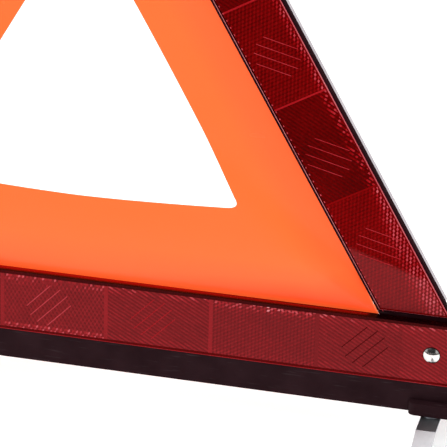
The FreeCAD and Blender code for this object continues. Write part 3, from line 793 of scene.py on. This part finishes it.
def film(label, bar):
    """Half of the film: the strips behind the beam and behind one arm, in one piece."""
    right = label == "right"
    low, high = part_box("film_" + label)
    arm_deep = (low.y + high.y) / 2 / MM
    low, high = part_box("film_base")
    base_deep = (low.y + high.y) / 2 / MM
    thick = (high.y - low.y) / MM
    sign = 1.0 if right else -1.0
    first, slope = (14.0, 0.5) if right else (42.0, 0.6)

    def world(u, w):
        """World x and z, on the right half, of a place along and across the arm."""
        p = RIGHT.point(u, w)
        return p.x / MM, p.z / MM

    slit = (first + 17.7) / 0.5
    side = 20.08
    outer = [(0.0, FILM_FOOT), (182.0, FILM_FOOT), (184.5, 78.0)]
    outer += [world(34.5, 19.75), world(40.4, 19.75), world(41.2, side), world(slit, side)]
    outer += [world(slit + 6.0, 8.0), world(392.0, 8.0)]
    lap = -6.0
    outer.append((lap, 400.48 - (19.07 - lap) / ROOT3))
    inner = []
    for i in range(61):
        u = 360.0 - i * (360.0 - 135.5) / 60
        w = 66.6 - 2.3 * math.sin(math.pi * min((u - 135.5) / 240.0, 1.0))
        x, z = world(u, w)
        if x > lap:
            inner.append((x, z))
    x0, z0 = inner[-1]
    cx, cz = 101.3, 142.4
    x1, z1 = 91.3, 142.15
    corner = []
    for a in (i / 8 for i in range(9)):
        p, q, r = (1 - a) ** 2, 2 * a * (1 - a), a * a
        corner.append((p * x0 + q * cx + r * x1, p * z0 + q * cz + r * z1))
    sag = [(x, 138.75 + 3.4 * (x / x1) ** 1.6) for x in np.linspace(88.0, 0.0, 31)]
    top = (lap, inner[0][1] + (inner[0][0] - lap) * ROOT3)
    path = along(outer + [top] + inner[:-1] + corner + sag + outer[:1], 3.0)[:-1]
    border = len(path)
    xs = np.array(path)
    points = [Vector(p) for p in path]
    edges = [(i, (i + 1) % border) for i in range(border)]
    gap = 4.0
    for row in range(int((xs[:, 1].max() - xs[:, 1].min()) / (gap * 0.866)) + 1):
        z = xs[:, 1].min() + (row + 0.5) * gap * 0.866
        x = xs[:, 0].min() + gap * (0.5 + 0.5 * (row % 2))
        while x < xs[:, 0].max():
            if np.hypot(xs[:, 0] - x, xs[:, 1] - z).min() > 1.7:
                points.append(Vector((x, z)))
            x += gap
    flat, _, faces, _, _, _ = delaunay_2d_cdt(points, edges, [], 1, 1e-4)

    def deep(x, z):
        """Depth of the film's middle: the beam's plane, the arm's, and a slope between."""
        u, w = RIGHT.place(x, z)
        turned = 0.5 * u - 0.8660254 * w
        part = smooth(turned / (first + slope * max(w - BAR_HALF, 0.0)))
        rise = math.sin(math.pi * min(max((z - 86.0) / 56.0, 0.0), 1.0)) * (1 - part)
        rise += math.sin(math.pi * min(max((w - 21.0) / 46.0, 0.0), 1.0)) * part
        return base_deep + (arm_deep - base_deep) * part - 0.7 * rise

    bm = bmesh.new()
    beam = bm.verts.layers.float.new("from_beam")
    arm = bm.verts.layers.float.new("from_arm")
    sheets = []
    for offset in (-thick / 2, thick / 2):
        made = []
        for x, z in flat:
            v = bm.verts.new((sign * x * MM, (deep(x, z) + offset) * MM, z * MM))
            v[beam] = z - BEAM_TOP
            v[arm] = RIGHT.place(x, z)[1] - BAR_HALF
            made.append(v)
        sheets.append(made)
    for index, made in enumerate(sheets):
        for face in faces:
            corners = [made[i] for i in face]
            bm.faces.new(corners if (index == 0) == right else corners[::-1]).smooth = True
    bm.edges.ensure_lookup_table()
    walls = [e for e in bm.edges if len(e.link_faces) == 1]
    pair = {front: back for front, back in zip(*sheets)}
    for e in walls:
        a, b = e.verts
        if a in pair and b in pair:
            seam = abs(a.co.x) < 1e-6 and abs(b.co.x) < 1e-6 and a.co.z < 0.2
            if not seam:
                bm.faces.new([a, b, pair[b], pair[a]])
    for e in bm.edges:
        if len(e.link_faces) == 2 and not all(f.smooth for f in e.link_faces):
            e.smooth = False
    bm.normal_update()
    mesh = bpy.data.meshes.new("film_half_" + label)
    bm.to_mesh(mesh)
    bm.free()
    piece = new_piece("film_half_" + label, mesh, ORANGE)
    area = sum(
        abs((flat[b] - flat[a]).cross(flat[c] - flat[a])) / 2 for a, b, c in faces
    )
    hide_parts(*(["film_right", "film_base"] if right else ["film_left"]))
    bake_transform(piece)


film("right", RIGHT)
film("left", LEFT)


# Studio


def area_light(name, place, aim, size, watts, colour=(1.0, 1.0, 1.0)):
    light = bpy.data.lights.new(name, "AREA")
    light.shape = "RECTANGLE"
    light.size, light.size_y = size
    light.energy = watts
    light.color = colour
    made = bpy.data.objects.new(name, light)
    made.location = place
    made.rotation_euler = (Vector(aim) - Vector(place)).to_track_quat("-Z", "Y").to_euler()
    bpy.context.scene.collection.objects.link(made)


area_light("key", (-1.2, -1.4, 2.4), (0.0, 0.0, 0.15), (1.6, 1.6), 45.0)
area_light("fill", (1.6, -0.6, 1.8), (0.0, 0.0, 0.15), (1.4, 1.4), 11.0)
area_light("top", (0.0, 0.6, 2.6), (0.0, 0.0, 0.0), (2.4, 2.0), 56.0)

n = Nodes("pale_floor")
n.link(
    n.ramp(n.noise(3.0, 2.0), [(0.3, (0.93, 0.93, 0.93, 1)), (0.7, (0.96, 0.96, 0.96, 1))]),
    "Base Color",
)
n.set(Roughness=0.9, Emission_Color=(1.0, 1.0, 1.0, 1.0), Emission_Strength=0.12)
floor_mesh = bpy.data.meshes.new("floor")
floor_corners = [(-20, -20, 0), (20, -20, 0), (20, 20, 0), (-20, 20, 0)]
floor_mesh.from_pydata(floor_corners, [], [(0, 1, 2, 3)])
floor = new_piece("floor", floor_mesh, n.material)

# Black cards that only reflections see: one on the floor, one upright behind the camera
n = Nodes("black_flag")
n.set(Base_Color=(0.01, 0.01, 0.01, 1.0), Roughness=1.0)
low_flag = [(-6, -8, 0.002), (6, -8, 0.002), (6, -0.26, 0.002), (-6, -0.26, 0.002)]
tall_flag = [(-1.6, -2.0, 0.1), (1.2, -2.0, 0.1), (1.2, -2.0, 2.2), (-1.6, -2.0, 2.2)]
flag_mesh = bpy.data.meshes.new("flag")
flag_mesh.from_pydata(low_flag + tall_flag, [], [(0, 1, 2, 3), (4, 5, 6, 7)])
flag = new_piece("flag", flag_mesh, n.material)
flag.visible_camera = flag.visible_diffuse = flag.visible_shadow = False

world = bpy.data.worlds.new("studio")
bpy.context.scene.world = world
world.use_nodes = True
world.node_tree.nodes["Background"].inputs["Color"].default_value = (1.0, 1.0, 1.0, 1.0)
world.node_tree.nodes["Background"].inputs["Strength"].default_value = 0.46
bpy.context.scene.view_settings.view_transform = "Standard"

camera_data = bpy.data.cameras.new("camera")
camera_data.sensor_width = 36.0
camera_data.lens = 249.8
camera = bpy.data.objects.new("camera", camera_data)
columns = Matrix(
    (
        (0.972156, -0.120553, 0.200945),
        (0.232997, 0.40583, -0.88375),
        (0.024989, 0.905963, 0.422618),
    )
)
camera.location = (0.46472, -1.65123, 0.91875)
camera.rotation_euler = columns.to_euler()
bpy.context.scene.collection.objects.link(camera)
bpy.context.scene.camera = camera
